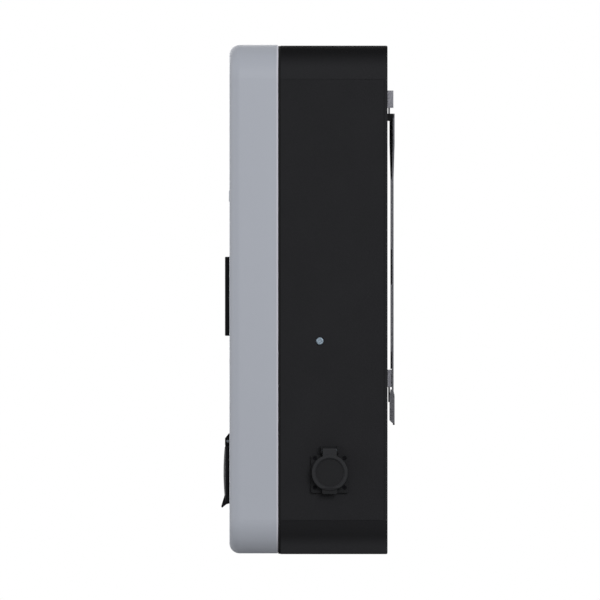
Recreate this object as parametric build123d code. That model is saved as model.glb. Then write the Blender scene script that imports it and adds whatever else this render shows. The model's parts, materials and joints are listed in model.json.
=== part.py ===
from build123d import *
import os
from math import cos, radians, sin

# A charging box for electric cars, hung on a folded wall plate. Its front holds a display,
# a status light and a lidded charging socket, and its right side a capped data port.
# X runs across the box, Y from its front (negative) to the wall, Z up. The origin lies on
# the wall, in the middle of the wall plate's four slots. Every length is in millimetres.

# General fits
overrun = 1.0
fit_gap = 0.3
slip_gap = 0.05
pivot_gap = 0.04

# Case
case_width = 295.0
case_height = 452.0
case_corner_r = 30.0
case_drop = 27.2
wall_gap = 6.28
housing_depth = 95.1
housing_wall = 3.0
housing_back_wall = 3.5
housing_edge_r = 1.3
cover_depth = 43.4
cover_lift = 0.7
cover_wall = 3.0
cover_edge_r = 9.0
cover_rim_r = 0.8
gasket_thickness = 2.0
gasket_inset = 0.3
tongue_thickness = 1.6
tongue_gap = 0.4
tongue_reach = 3.0
tongue_root = 4.0

# Fine grooves that border the flat of each side
crease_width = 0.6
crease_depth = 0.3
crease_back_margin = 3.1

# Ribs and posts inside the housing
rib_thickness = 2.0
rib_height = 6.0
rib_places_x = (-45.0, 45.0)
rib_places_z = (-160.0, -45.0, 85.0)

# Screws that hold the cover, driven from behind through towers
cover_screw_inset = 15.5
cover_screw_side_inset = 8.7
tower_r = 6.8
tower_well_r = 3.75
tower_cap = 6.0
tower_meet_depth = 4.0
cover_boss_r = 5.0
cover_boss_depth = 16.0
cover_screw_d = 4.0
cover_screw_length = 18.0
cover_screw_head_d = 7.0
cover_screw_head_height = 2.6
cover_screw_key = 2.5
screw_hole_gap = 0.2

# Wall plate
plate_width = 190.0
plate_height = 276.8
plate_sheet = 1.6
plate_lift = 0.89
plate_pad_top_low = 111.3
plate_pad_taper_top = 81.0
plate_pad_low_top = 113.0
plate_pad_low_taper = 5.0
plate_corner_r = 6.0
slot_spacing_x = 150.0
slot_spacing_z = 250.0
slot_width = 7.0
slot_length = 16.0
plate_flange_reach = 3.73
plate_pad_reach = 4.6
plate_flange_spans = ((16.0, 80.0), (-75.5, -13.6), (-136.8, -106.8))
plate_tab_chamfer = 2.6
plate_rib_width = 24.0
plate_rib_top = 134.0
plate_rib_bottom = -88.6
buffer_x = 84.0
buffer_width = 16.0
buffer_height = 6.6

# Hooks of the wall plate, and the hangers on the box that drop over them
hook_places_x = (-40.0, 40.0)
hook_width = 26.0
hook_play = 2.0
hook_rise_upper = 19.0
hook_rise_lower = 20.3
hook_shelf_lower = -111.0
hook_front = 5.7
hook_window_margin = 1.0
hook_lip_drop = 7.0
hanger_sheet = 1.5
hanger_depth = 5.2
hanger_height = 15.5
hanger_half_width = 93.0
hanger_end_depth_upper = 5.2
hanger_end_depth_lower = 3.6
hanger_screw_inset = 19.0
hanger_screw_d = 4.0
hanger_screw_length = 9.0
hanger_screw_head_d = 7.6
hanger_screw_head_height = 1.6
hanger_boss_r = 5.0
hanger_boss_height = 8.0

# Display
display_z = -24.0
display_width = 120.0
display_height = 70.3
display_stand = 4.0
display_corner_r = 1.3
display_edge_r = 0.8
display_glass_thickness = 1.1
display_glass_margin = 1.6
display_web = 1.4
display_view_width = 95.4
display_view_height = 54.2
display_collar_width = 112.0
display_collar_height = 66.0
display_collar_wall = 1.6
display_collar_reach = 5.0
panel_thickness = 3.2
display_board_width = 132.0
display_board_height = 78.0
display_post_side_inset = 5.0
display_post_end_inset = 4.0
small_post_r = 3.4
small_screw_d = 2.6
small_screw_length = 5.4
small_screw_head_d = 5.0
small_screw_head_height = 1.6
small_screw_key = 1.5
board_thickness = 1.6

# Status light
light_z = 65.1
light_width = 90.0
light_height = 9.8
light_stand = 0.45
light_seat = 1.2
light_neck_width = 84.0
light_neck_height = 5.6
light_neck_reach = 1.0
light_board_width = 104.0
light_board_height = 14.0
light_board_gap = 3.6
light_post_x = 48.0
led_size = 3.0
led_height = 1.4
led_count = 7
led_pitch = 12.0

# Charging socket
socket_z = -180.2
socket_face_r = 33.0
socket_hinge_top = -145.2
socket_hinge_half_width = 15.0
socket_face_lip_r = 37.2
mouth_r = 26.5
mouth_flat = 21.5
mouth_rim = 1.7
mouth_rim_stand = 1.0
socket_wall = 3.0
socket_length = 48.0
socket_flange_r = 48.5
socket_flange_front = 11.0
socket_flange_thickness = 3.0
socket_gasket_thickness = 1.5
socket_collar_r = 40.0
socket_screw_r = 44.2
socket_screw_length = 9.0
core_r = 21.0
core_flat = 16.0
core_recess = 8.0
power_contact_circle = 14.2
power_contact_angles = (0, 180, -60, -120)
signal_contact_x = 6.9
signal_contact_z = 11.2
power_sleeve_r = 4.15
power_pin_r = 3.1
signal_sleeve_r = 2.3
signal_pin_r = 1.6
sleeve_recess = 1.5
sleeve_bore_depth = 28.0
sleeve_end_wall = 2.0
sleeve_tail_r = 1.9
sleeve_tail_length = 10.0
rear_cap_r = 21.5
rear_cap_wall = 1.8
rear_cap_length = 17.0

# Socket lid, its hinge and its spring
lid_r = 28.5
lid_flat_z = -157.5
lid_pivot_z = -152.9
lid_pivot_stand = 1.72
lid_back_stand = 1.3
lid_front_stand = 5.3
lid_dome_r = 240.0
lid_knuckle_r = 2.1
lid_knuckle_half_width = 8.6
lid_spring_half_width = 3.5
ear_inner = 9.0
ear_outer = 13.5
ear_stand = 4.0
ear_bottom_z = -156.2
ear_foot_z = -157.2
ear_foot_stand = 1.2
ear_chamfer_z = -150.2
ear_top_z = -145.7
lid_pin_r = 0.85
knuckle_pocket_depth = 1.3
knuckle_pocket_half_height = 2.9
lip_half_width = 10.0
lip_root_z = -200.5
lip_tip_z = -210.8
lip_tip_stand = 7.4
lip_end_z = -212.0
lip_end_stand = 6.6
lip_under_z = -208.6
lip_under_stand = 2.3
lip_corner_r = 4.0
lid_plug_gap = 2.9
lid_plug_depth = 3.6
lid_seal_gap = 0.5
lid_seal_thickness = 1.6
lid_seal_flange = 1.5
lid_spring_wire = 0.7
lid_spring_coil_r = 1.5
lid_spring_turns = 5
lid_spring_pitch = 0.95

# Lock that holds a plug in the socket
lock_width = 32.0
lock_height = 30.0
lock_depth = 24.0
lock_flange_gap = 0.5
lock_pin_r = 2.5
lock_pin_park = 0.2
lock_pin_length = 22.0
lock_motor_r = 7.5
lock_motor_length = 13.0

# Data port in the right side
port_y = -57.7
port_z = -180.9
port_flange_width = 33.2
port_flange_height = 33.4
port_flange_drop = 1.2
port_flange_thickness = 3.0
port_flange_corner_r = 1.5
port_screw_spacing = 26.2
port_screw_well_r = 1.9
port_screw_well_depth = 1.6
port_screw_d = 2.0
port_screw_head_d = 3.6
port_screw_head_height = 1.2
port_screw_length = 7.0
port_screw_key = 1.2
port_post_r = 3.2
port_post_height = 6.0
port_ring_outer_r = 13.4
port_ring_inner_r = 11.4
port_ring_height = 3.2
port_collar_r = 12.4
port_collar_length = 6.0
jack_width = 16.0
jack_height = 14.0
jack_length = 20.0
jack_mouth_width = 11.8
jack_mouth_height = 7.8
jack_mouth_depth = 13.0
jack_key_width = 6.4
jack_key_height = 2.2
jack_flange = 1.6
cap_r = 16.0
cap_gap = 0.3
cap_thickness = 6.6
cap_cup_r = 14.2
cap_cup_depth = 3.8
cap_recess_r = 12.0
cap_recess_mouth_r = 13.4
cap_recess_depth = 1.6
cap_edge_r = 0.8
cap_arm_width = 12.5
cap_pivot_rise = 19.9
cap_pivot_stand = 5.9
cap_knuckle_r = 2.4
cap_spring_half_width = 2.7
cap_spring_room = 2.0
cap_arm_edge_r = 2.0
cap_ear_inner = 6.5
cap_ear_outer = 7.9
cap_ear_stand = 7.4
cap_ear_top_rise = 23.6
cap_ear_bottom_rise = 16.6
cap_pin_r = 0.75
cap_tab_width = 13.3
cap_tab_reach = 2.9
cap_tab_thickness = 2.6
cap_seal_outer_r = 13.6
cap_seal_inner_r = 11.0
cap_seal_thickness = 0.6
cap_spring_wire = 0.6
cap_spring_coil_r = 1.35
cap_spring_turns = 4
cap_spring_pitch = 0.95

# Screw in the right side
side_screw_y = -66.5
side_screw_z = -63.8
side_screw_head_d = 6.8
side_screw_head_height = 1.5
side_screw_d = 4.0
side_screw_length = 9.0
side_screw_key = 3.0
side_boss_r = 5.0
side_boss_height = 8.0

# Rubber membrane for the supply cable, flush in the underside
grommet_gap = 0.1
grommet_x = -70.0
grommet_y = -52.0
grommet_hole_r = 16.0
grommet_seat_r = 20.0
grommet_seat_depth = 1.2
grommet_membrane = 1.4
grommet_inner_lip = 2.2
grommet_ring_r = 8.0
grommet_ring_height = 1.0

# Circuit board and what it carries
board_width = 206.0
board_height = 286.0
board_z = 20.0
board_post_height = 12.0
board_post_r = 4.5
board_post_x = 94.0
board_post_z = 134.0
board_screw_d = 3.0
board_screw_length = 8.0
board_screw_head_d = 5.6
board_screw_head_height = 2.2
board_screw_key = 2.0
relay_count = 4
relay_width = 22.0
relay_height = 32.0
relay_depth = 27.0
relay_pitch = 26.0
relay_x = 12.0
relay_z = 10.0
relay_corner_r = 1.2
sensor_x = -62.0
sensor_z = -30.0
sensor_outer_r = 19.0
sensor_inner_r = 10.0
sensor_length = 17.0
sensor_foot = 3.0
supply_width = 46.0
supply_height = 70.0
supply_depth = 24.0
supply_x = -62.0
supply_z = 92.0
supply_corner_r = 2.0
choke_width = 30.0
choke_height = 26.0
choke_depth = 25.0
choke_x = -4.0
choke_z = 110.0
capacitor_r = 9.0
capacitor_length = 30.0
capacitor_x = 50.0
capacitor_z = 110.0
capacitor_pitch = 22.0
capacitor_count = 3
capacitor_edge_r = 1.0
terminal_poles = 5
terminal_pitch = 12.0
terminal_height = 26.0
terminal_depth = 27.0
terminal_x = -58.0
terminal_z = -102.0
terminal_screw_r = 3.0
terminal_screw_height = 3.0
terminal_slot_width = 0.9
terminal_slot_depth = 1.0
terminal_well_r = 3.6
terminal_well_depth = 7.0
terminal_entry_r = 3.6
terminal_entry_depth = 14.0
processor_size = 24.0
processor_height = 2.4
processor_x = 62.0
processor_z = 52.0
meter_size = 16.0
meter_x = 80.0
meter_z = -8.0
link_width = 34.0
link_height = 16.0
link_depth = 20.0
link_x = 0.0
link_z = -108.0
antenna_width = 46.0
antenna_height = 12.0
antenna_thickness = 0.8
antenna_x = 70.0
antenna_drop = 28.8
loom_r = 5.5
loom_bend_share = 0.45

# Places worked out from the sizes above
case_z = -case_drop
side_x = case_width / 2
back_y = -wall_gap
inner_back_y = back_y - housing_back_wall
rim_y = back_y - housing_depth
seam_y = rim_y - gasket_thickness
front_y = seam_y - cover_depth
cover_inner_y = front_y + cover_wall
meet_y = rim_y + tower_meet_depth
tongue_inset = housing_wall + tongue_gap
underside_z = case_z - case_height / 2
antenna_z = case_z + case_height / 2 - antenna_drop
hook_shelf_upper = plate_height / 2
hook_top_upper = hook_shelf_upper + hook_rise_upper
hook_top_lower = hook_shelf_lower + hook_rise_lower
hanger_screw_x = hanger_half_width - hanger_screw_inset
hanger_screw_places_x = (-hanger_screw_x, 0, hanger_screw_x)
display_post_x = display_board_width / 2 - display_post_side_inset
display_post_z = display_board_height / 2 - display_post_end_inset
board_back_y = inner_back_y - board_post_height
board_front_y = board_back_y - board_thickness
display_back_y = cover_inner_y + display_collar_reach
light_board_y = cover_inner_y + light_board_gap
lid_pivot_y = front_y - lid_pivot_stand
socket_back_y = front_y + socket_length
socket_flange_y = front_y + socket_flange_front
core_front_y = front_y + core_recess
core_back_y = socket_back_y - socket_wall
sleeve_front_y = core_front_y + sleeve_recess
sleeve_bore_y = sleeve_front_y + sleeve_bore_depth
sleeve_seat_y = sleeve_bore_y + sleeve_end_wall
tail_end_y = socket_back_y + sleeve_tail_length
tube_flat_z = socket_z + mouth_flat + socket_wall
lock_y = socket_flange_y + socket_flange_thickness + lock_flange_gap + lock_depth / 2
port_face_x = side_x + port_flange_thickness
cap_back_x = port_face_x + cap_gap
cap_front_x = cap_back_x + cap_thickness
cap_pivot_x = side_x + cap_pivot_stand
cap_pivot_z = port_z + cap_pivot_rise


# Drawing helpers
def slab(sketch, y_back, y_front):
    """Extrude a sketch drawn in X and Z from y_back forwards to y_front."""
    plane = Plane(origin=(0, y_back, 0), x_dir=(1, 0, 0), z_dir=(0, -1, 0))
    return extrude(plane * sketch, amount=y_back - y_front)


def side_slab(sketch, x_low, x_high):
    """Extrude a sketch drawn in Y and Z from x_low to x_high."""
    plane = Plane(origin=(x_low, 0, 0), x_dir=(0, 1, 0), z_dir=(1, 0, 0))
    return extrude(plane * sketch, amount=x_high - x_low)


def block(x_span, y_span, z_span):
    """A box given by its two limits along each axis."""
    size = [high - low for low, high in (x_span, y_span, z_span)]
    middle = [(high + low) / 2 for low, high in (x_span, y_span, z_span)]
    return Pos(*middle) * Box(*size)


def about(middle, width):
    """The two limits of a width about its middle."""
    return (middle - width / 2, middle + width / 2)


def turned(start, direction, *steps):
    """Cylinders on one axis, each from one distance along it to another with a radius."""
    axis = Plane(origin=start, z_dir=direction)
    made = [extrude(axis.offset(low) * Circle(r), amount=high - low) for low, high, r in steps]
    whole = made[0]
    for more in made[1:]:
        whole += more
    return whole


def post(x, z, radius, y_back, y_front):
    """A round post or hole along Y."""
    return turned((x, y_back, z), (0, -1, 0), (0, y_back - y_front, radius))


def screw(seat, direction, shank_d, length, head_d, head_height, key):
    """A screw whose head bears on seat and whose shank runs along direction."""
    whole = turned(
        seat, direction, (-head_height, 0, head_d / 2), (0, length, shank_d / 2)
    )
    top = Plane(origin=seat, z_dir=direction).offset(-head_height)
    drive = RegularPolygon(key / 2, 6, major_radius=False)
    return whole - extrude(top * drive, amount=head_height / 2)


def group(solids):
    """Separate solids kept together in one node."""
    return Compound([solid for made in solids for solid in made.solids()])


def case_outline(inset, lift=0):
    """The case seen from the front, drawn in by inset and raised by lift."""
    width = case_width - 2 * inset
    height = case_height - 2 * inset
    return Pos(0, case_z + lift) * RectangleRounded(width, height, case_corner_r - inset)


def dee(radius, flat):
    """A circle about the socket's axis, cut flat above."""
    cut = Pos(0, flat + radius) * Rectangle(2 * radius, 2 * radius)
    return Pos(0, socket_z) * (Circle(radius) - cut)


def socket_front(grow):
    """The socket's face: a disc with the hinge block above it."""
    disc = Pos(0, socket_z) * Circle(socket_face_r + grow)
    height = socket_hinge_top + grow - socket_z
    width = 2 * (socket_hinge_half_width + grow)
    return disc + Pos(0, socket_z + height / 2) * Rectangle(width, height)


# Places of the fasteners
def corners(half_x, half_z, middle_z):
    """Four places about a middle."""
    return [(x, middle_z + z) for x in (-half_x, half_x) for z in (-half_z, half_z)]


def cover_screw_places():
    """The four corners and the middle of each side."""
    x = side_x - cover_screw_inset
    z = case_height / 2 - cover_screw_inset
    middle = side_x - cover_screw_side_inset
    return corners(x, z, case_z) + [(-middle, case_z), (middle, case_z)]


def board_screw_places():
    """The corners of the circuit board and the middle of its long sides."""
    sides = [(-board_post_x, board_z), (board_post_x, board_z)]
    return corners(board_post_x, board_post_z, board_z) + sides


def hanger_screw_places():
    """Three screws in each of the two hangers."""
    levels = (hanger_middle(hook_top_upper), hanger_middle(hook_top_lower))
    return [(x, z) for z in levels for x in hanger_screw_places_x]


def hanger_top(hook_top):
    """The top of the hanger whose inside rests on a hook."""
    return hook_top + hanger_sheet


def hanger_middle(hook_top):
    """The middle of a hanger's height."""
    return hanger_top(hook_top) - hanger_height / 2


def socket_screw_places():
    """Four screws about the socket."""
    shift = socket_screw_r * cos(radians(45))
    return corners(shift, shift, socket_z)


def port_screw_places():
    """Four screws about the data port, as Y and Z."""
    half = port_screw_spacing / 2
    return [(port_y + y, port_z + z) for y in (-half, half) for z in (-half, half)]


def contact_places():
    """Each contact's X, Z, sleeve radius and pin radius."""
    places = [(0, socket_z, power_sleeve_r, power_pin_r)]
    for angle in power_contact_angles:
        x = power_contact_circle * cos(radians(angle))
        z = socket_z + power_contact_circle * sin(radians(angle))
        places.append((x, z, power_sleeve_r, power_pin_r))
    for x in (-signal_contact_x, signal_contact_x):
        places.append((x, socket_z + signal_contact_z, signal_sleeve_r, signal_pin_r))
    return places


# Case
def make_rear_housing():
    body = slab(case_outline(0), back_y, rim_y)
    body = fillet(body.faces().sort_by(Axis.Y)[-1].edges(), housing_edge_r)
    body -= slab(case_outline(housing_wall), inner_back_y, rim_y - overrun)
    inside = (-side_x + housing_wall / 2, side_x - housing_wall / 2)
    reach = case_height / 2 - housing_wall / 2
    height = (case_z - reach, case_z + reach)
    depth = (inner_back_y - rib_height, inner_back_y)
    for x in rib_places_x:
        body += block(about(x, rib_thickness), depth, height)
    for z in rib_places_z:
        body += block(inside, depth, about(z, rib_thickness))
    for x, z in cover_screw_places():
        body += post(x, z, tower_r, inner_back_y, meet_y)
    for x, z in board_screw_places():
        body += post(x, z, board_post_r, inner_back_y, board_back_y)
    for x, z in hanger_screw_places():
        body += post(x, z, hanger_boss_r, inner_back_y, inner_back_y - hanger_boss_height)
    wall_x = side_x - housing_wall
    for y, z in port_screw_places():
        body += turned((wall_x, y, z), (-1, 0, 0), (0, port_post_height, port_post_r))
    side_screw = (side_x, side_screw_y, side_screw_z)
    boss = (housing_wall, housing_wall + side_boss_height, side_boss_r)
    body += turned(side_screw, (-1, 0, 0), boss)
    body -= side_creases()
    for x, z in cover_screw_places():
        body -= post(x, z, tower_well_r, back_y + overrun, meet_y + tower_cap)
        body -= post(x, z, cover_screw_d / 2 + screw_hole_gap, back_y, meet_y - overrun)
    for x, z in board_screw_places():
        depth = inner_back_y - board_post_height
        body -= post(x, z, board_screw_d / 2 + slip_gap, inner_back_y, depth - overrun)
    for x, z in hanger_screw_places():
        hole_r = hanger_screw_d / 2 + slip_gap
        body -= post(x, z, hole_r, back_y + overrun, back_y - hanger_screw_length)
    for y, z in port_screw_places():
        hole = (0, port_screw_length + overrun, port_screw_d / 2 + slip_gap)
        body -= turned((side_x + overrun, y, z), (-1, 0, 0), hole)
    reach = side_screw_length + overrun
    body -= turned(side_screw, (-1, 0, 0), (-overrun, reach, side_screw_d / 2 + slip_gap))
    hole = (side_x + overrun, port_y, port_z)
    body -= turned(hole, (-1, 0, 0), (0, housing_wall + 2 * overrun, port_collar_r + slip_gap))
    under = (grommet_x, grommet_y, underside_z)
    through = housing_wall + overrun
    seat_r = grommet_seat_r + grommet_gap
    body -= turned(under, (0, 0, 1), (-overrun, grommet_seat_depth, seat_r))
    body -= turned(under, (0, 0, 1), (0, through, grommet_hole_r + grommet_gap))
    return body


def side_creases():
    """Shallow grooves round the flat part of each side."""
    flat = case_height / 2 - case_corner_r
    y_span = (rim_y, back_y - crease_back_margin)
    cuts = []
    for x in (-side_x, side_x):
        x_span = about(x, 2 * crease_depth)
        for z in (case_z - flat, case_z + flat):
            cuts.append(block(x_span, y_span, about(z, crease_width)))
        upright = about(y_span[1], crease_width)
        cuts.append(block(x_span, upright, (case_z - flat, case_z + flat)))
    return cuts


def make_front_cover():
    body = slab(case_outline(0, cover_lift), seam_y, front_y)
    body = fillet(body.faces().sort_by(Axis.Y)[0].edges(), cover_edge_r)
    body = chamfer(body.faces().sort_by(Axis.Y)[-1].edges(), cover_rim_r)
    hollow = slab(case_outline(cover_wall, cover_lift), seam_y + overrun, cover_inner_y)
    front = hollow.faces().sort_by(Axis.Y)[0]
    body -= fillet(front.edges(), cover_edge_r - cover_wall)
    inner = case_outline(tongue_inset + tongue_thickness)
    root = case_outline(cover_wall / 2, cover_lift) - inner
    body += slab(root, seam_y, seam_y - tongue_root)
    body += slab(case_outline(tongue_inset) - inner, rim_y + tongue_reach, seam_y - tongue_root)
    collar = Pos(0, socket_z) * Circle(socket_collar_r)
    body += slab(collar, socket_flange_y - socket_gasket_thickness, cover_inner_y)
    for x, z in cover_screw_places():
        body += post(x, z, cover_boss_r, meet_y, cover_inner_y)
    for x, z in corners(display_post_x, display_post_z, display_z):
        body += post(x, z, small_post_r, display_back_y, cover_inner_y)
    for x in (-light_post_x, light_post_x):
        body += post(x, light_z, small_post_r, light_board_y, cover_inner_y)
    for x, z in socket_screw_places():
        body += post(x, z, small_post_r, socket_flange_y, cover_inner_y)
    for x, z in cover_screw_places():
        hole_r = cover_screw_d / 2 + slip_gap
        body -= post(x, z, hole_r, meet_y + overrun, meet_y - cover_boss_depth)
    hole_r = small_screw_d / 2 + slip_gap
    for x, z in corners(display_post_x, display_post_z, display_z):
        body -= post(x, z, hole_r, display_back_y + overrun, display_back_y - display_collar_reach)
    for x in (-light_post_x, light_post_x):
        body -= post(x, light_z, hole_r, light_board_y + overrun, cover_inner_y - overrun)
    for x, z in socket_screw_places():
        body -= post(x, z, hole_r, socket_flange_y + overrun, socket_flange_y - socket_screw_length)
    gap = 2 * slip_gap
    window = Rectangle(display_collar_width + gap, display_collar_height + gap)
    body -= slab(Pos(0, display_z) * window, cover_inner_y + overrun, front_y - overrun)
    seat = RectangleRounded(light_width + gap, light_height + gap, light_corner())
    body -= slab(Pos(0, light_z) * seat, front_y + light_seat, front_y - overrun)
    neck = Rectangle(light_neck_width + gap, light_neck_height + gap)
    body -= slab(Pos(0, light_z) * neck, cover_inner_y + overrun, front_y - overrun)
    body -= slab(socket_front(fit_gap), socket_flange_y + overrun, front_y - overrun)
    return body


def make_cover_gasket():
    ring = case_outline(gasket_inset) - case_outline(housing_wall)
    return slab(ring, rim_y, seam_y)


def make_cover_screws():
    seat_y = meet_y + tower_cap
    return group(
        screw(
            (x, seat_y, z),
            (0, -1, 0),
            cover_screw_d,
            cover_screw_length,
            cover_screw_head_d,
            cover_screw_head_height,
            cover_screw_key,
        )
        for x, z in cover_screw_places()
    )


# Hanging hardware
def sheet_back(z):
    """How far the back of the wall plate stands off the wall at a height."""
    low = -plate_pad_low_top
    points = [
        (-plate_height, 0),
        (low, 0),
        (low + plate_pad_low_taper, plate_lift),
        (plate_pad_taper_top, plate_lift),
        (plate_pad_top_low, 0),
        (plate_height, 0),
    ]
    for (z0, lift0), (z1, lift1) in zip(points, points[1:]):
        if z0 <= z <= z1:
            return lift0 + (lift1 - lift0) * (z - z0) / (z1 - z0)
    return 0


def plate_bends(z_low, z_high):
    """The heights between two limits at which the wall plate changes its stand-off."""
    low = -plate_pad_low_top
    bends = (low, low + plate_pad_low_taper, plate_pad_taper_top, plate_pad_top_low)
    return [z_low] + [z for z in bends if z_low < z < z_high] + [z_high]


def plate_strip(z_low, z_high, front):
    """Side outline of a strip of the wall plate, from its back to a front line."""
    heights = plate_bends(z_low, z_high)
    back = [(-sheet_back(z), z) for z in heights]
    face = [(-front(z), z) for z in reversed(heights)]
    return make_face(Polyline(*back, *face, close=True))


def sheet_front(z):
    return sheet_back(z) + plate_sheet


def raised_front(z):
    """The front of the plate's rib and side tabs, deeper towards the plate's ends."""
    share = 1 - sheet_back(z) / plate_lift
    return plate_flange_reach + (plate_pad_reach - plate_flange_reach) * share


def make_wall_plate():
    half = plate_height / 2
    edge = plate_width / 2
    strip = side_slab(plate_strip(-half, half, sheet_front), -edge, edge)
    panel = RectangleRounded(plate_width, plate_height, plate_corner_r)
    body = strip & slab(panel, overrun, -wall_gap)
    rib = plate_strip(plate_rib_bottom, plate_rib_top, raised_front)
    body += side_slab(rib, -plate_rib_width / 2, plate_rib_width / 2)
    hollow = plate_strip(
        plate_rib_bottom + plate_sheet,
        plate_rib_top - plate_sheet,
        lambda z: raised_front(z) - plate_sheet,
    )
    half_rib = plate_rib_width / 2 - plate_sheet
    body -= side_slab(hollow, -half_rib, half_rib)
    for z_low, z_high in plate_flange_spans:
        tab = side_slab(plate_strip(z_low, z_high, raised_front), -plate_sheet, 0)
        toe = tab.edges().filter_by(Axis.X).group_by(Axis.Z)[0].sort_by(Axis.Y)[0]
        tab = chamfer(toe, plate_tab_chamfer)
        body += Pos(edge, 0, 0) * tab
        body += Pos(-edge + plate_sheet, 0, 0) * tab
    for x in (-slot_spacing_x / 2, slot_spacing_x / 2):
        for z in (-slot_spacing_z / 2, slot_spacing_z / 2):
            slot = Pos(x, z) * SlotOverall(slot_length, slot_width)
            body -= slab(slot, overrun, -wall_gap)
    for x in hook_places_x:
        body += make_hook(x, hook_shelf_upper, hook_top_upper)
        body -= hook_window(x)
        body += make_hook(x, hook_shelf_lower, hook_top_lower)
        lip = (-hook_front, -hook_front + plate_sheet)
        z_span = (hook_shelf_lower - hook_lip_drop, hook_shelf_lower)
        body += block(about(x, hook_width), lip, z_span)
    return body


def make_plate_buffers():
    """Two rubber pads at the top of the plate that steady the box."""
    y_span = (back_y, -plate_sheet)
    z_span = (hook_shelf_upper - buffer_height, hook_shelf_upper)
    return group(
        block(about(x, buffer_width), y_span, z_span) for x in (-buffer_x, buffer_x)
    )


def hook_window(x):
    """The hole behind a lower hook, tall enough for its hanger to drop in from above."""
    width = hook_width + 2 * (hook_play + hanger_sheet + hook_window_margin)
    top = hanger_top(hook_top_lower) + hanger_height + hook_window_margin
    return block(about(x, width), (-wall_gap, overrun), (hook_shelf_lower, top))


def make_hook(x, shelf_z, top_z):
    """A shelf folded forwards from the plate, and the hook that stands on its edge."""
    width = about(x, hook_width)
    shelf_y = (-hook_front, -sheet_back(shelf_z - plate_sheet))
    hook_y = (-hook_front, -hook_front + plate_sheet)
    shelf = block(width, shelf_y, (shelf_z - plate_sheet, shelf_z))
    return shelf + block(width, hook_y, (shelf_z - plate_sheet, top_z))


def make_hanger(hook_top, end_depth):
    """A pressed strip with folded ends and two pockets, open below, that drop over two hooks."""
    top = hanger_top(hook_top)
    z_span = (top - hanger_height, top)
    face = (back_y, back_y + hanger_sheet)
    body = block((-hanger_half_width, hanger_half_width), face, z_span)
    inner = hook_width + 2 * hook_play
    for x in hook_places_x:
        depth = (back_y, back_y + hanger_depth)
        body += block(about(x, inner + 2 * hanger_sheet), depth, z_span)
        pocket = (back_y - overrun, back_y + hanger_depth - hanger_sheet)
        body -= block(about(x, inner), pocket, (top - hanger_height - overrun, hook_top))
    end_y = (back_y, back_y + end_depth)
    inner_end = hanger_half_width - hanger_sheet
    for end in ((-hanger_half_width, -inner_end), (inner_end, hanger_half_width)):
        body += block(end, end_y, z_span)
    for x in hanger_screw_places_x:
        z = hanger_middle(hook_top)
        hole_r = hanger_screw_d / 2 + screw_hole_gap
        body -= post(x, z, hole_r, back_y + hanger_sheet + overrun, back_y - overrun)
    return body


def make_hanger_screws():
    seat_y = back_y + hanger_sheet
    return group(
        screw(
            (x, seat_y, z),
            (0, -1, 0),
            hanger_screw_d,
            hanger_screw_length,
            hanger_screw_head_d,
            hanger_screw_head_height,
            small_screw_key,
        )
        for x, z in hanger_screw_places()
    )


# Display
def centred(z, width, height, corner=0):
    """A rectangle about the middle of the front at a height."""
    if corner:
        return Pos(0, z) * RectangleRounded(width, height, corner)
    return Pos(0, z) * Rectangle(width, height)


def glass_outline(grow):
    """The outline of the display's glass, or of its seat."""
    width = display_width - 2 * display_glass_margin + 2 * grow
    height = display_height - 2 * display_glass_margin + 2 * grow
    return centred(display_z, width, height)


def make_display_bezel():
    outline = centred(display_z, display_width, display_height, display_corner_r)
    face_y = front_y - display_stand
    body = slab(outline, front_y, face_y)
    body = fillet(body.faces().sort_by(Axis.Y)[0].edges(), display_edge_r)
    collar = centred(display_z, display_collar_width, display_collar_height)
    body += slab(collar, display_back_y, front_y)
    inner_width = display_collar_width - 2 * display_collar_wall
    inner_height = display_collar_height - 2 * display_collar_wall
    web_y = face_y + display_glass_thickness + display_web
    inner = centred(display_z, inner_width, inner_height)
    body -= slab(inner, display_back_y + overrun, web_y)
    view = centred(display_z, display_view_width, display_view_height)
    body -= slab(view, front_y, face_y - overrun)
    body -= slab(glass_outline(slip_gap), face_y + display_glass_thickness, face_y - overrun)
    return body


def make_display_glass():
    face_y = front_y - display_stand
    return slab(glass_outline(0), face_y + display_glass_thickness, face_y)


def make_display_panel():
    web_y = front_y - display_stand + display_glass_thickness + display_web
    width = display_collar_width - 2 * display_collar_wall - 2 * slip_gap
    height = display_collar_height - 2 * display_collar_wall - 2 * slip_gap
    return slab(centred(display_z, width, height), web_y + panel_thickness, web_y)


def make_display_board():
    outline = centred(display_z, display_board_width, display_board_height)
    body = slab(outline, display_back_y + board_thickness, display_back_y)
    rear_y = display_back_y + board_thickness
    chip = centred(display_z, processor_size, processor_size)
    body += slab(chip, rear_y + processor_height, rear_y)
    plug = centred(display_z - display_board_height / 4, link_width, link_height / 2)
    body += slab(plug, rear_y + 2 * processor_height, rear_y)
    for x, z in corners(display_post_x, display_post_z, display_z):
        hole_r = small_screw_d / 2 + screw_hole_gap
        body -= post(x, z, hole_r, rear_y + overrun, display_back_y - overrun)
    return body


def make_display_screws():
    seat_y = display_back_y + board_thickness
    places = corners(display_post_x, display_post_z, display_z)
    return group(small_screw(x, seat_y, z) for x, z in places)


def small_screw(x, seat_y, z):
    """A short screw driven forwards into a post of the cover."""
    return screw(
        (x, seat_y, z),
        (0, -1, 0),
        small_screw_d,
        small_screw_length,
        small_screw_head_d,
        small_screw_head_height,
        small_screw_key,
    )


# Status light
def light_corner():
    return light_height / 2 - slip_gap


def make_status_light_lens():
    outline = centred(light_z, light_width, light_height, light_corner())
    body = slab(outline, front_y + light_seat, front_y - light_stand)
    neck = centred(light_z, light_neck_width, light_neck_height)
    return body + slab(neck, cover_inner_y + light_neck_reach, front_y)


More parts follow.
